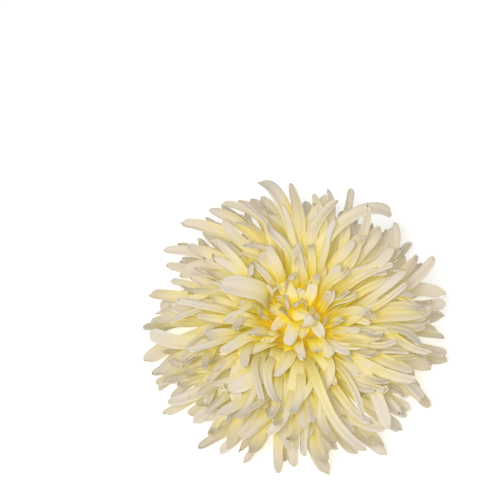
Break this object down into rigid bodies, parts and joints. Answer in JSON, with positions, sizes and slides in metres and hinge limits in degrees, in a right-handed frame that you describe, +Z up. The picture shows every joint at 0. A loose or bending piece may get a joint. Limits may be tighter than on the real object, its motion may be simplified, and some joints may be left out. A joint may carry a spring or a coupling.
{
  "type": "artificial spider chrysanthemum flower head",
  "caption": "Double flower head of narrow cream fabric petals with curled tips round a gold heart, lying face up on a green plastic calyx with a fabric sepal whorl.",
  "frame": {"origin": "on the surface that the flower lies on, where the flower's own axis and the middle of the plastic stub's end meet it", "axes": "+Z up along the flower's axis; +Y points away from the viewer of the picture, towards the side whose petals stand steeper"},
  "size_m": [0.1286, 0.128, 0.0465],
  "materials": {
    "calyx_plastic": "moulded green plastic with a soft gloss",
    "sepal_fabric": "coated dark green fabric with pressed veins",
    "petal_layer_1": "cream fabric, heat-curled, yellow towards the root",
    "petal_layer_2": "cream fabric, heat-curled, yellow towards the root",
    "petal_layer_3": "cream fabric, heat-curled, yellow towards the root",
    "petal_layer_4": "cream fabric, heat-curled, yellow towards the root",
    "petal_layer_5": "cream fabric, heat-curled, butter yellow towards the root",
    "petal_layer_6": "cream fabric, heat-curled, butter yellow towards the root",
    "petal_layer_7": "gold fabric with pale tips"
  },
  "bodies": {
    "root": {"calyx_moulding": "calyx_plastic", "sepal_whorl": "sepal_fabric", "petal_layer_1": "petal_layer_1", "petal_layer_2": "petal_layer_2", "petal_layer_3": "petal_layer_3", "petal_layer_4": "petal_layer_4", "petal_layer_5": "petal_layer_5", "petal_layer_6": "petal_layer_6", "petal_layer_7": "petal_layer_7"}
  },
  "joints": []
}
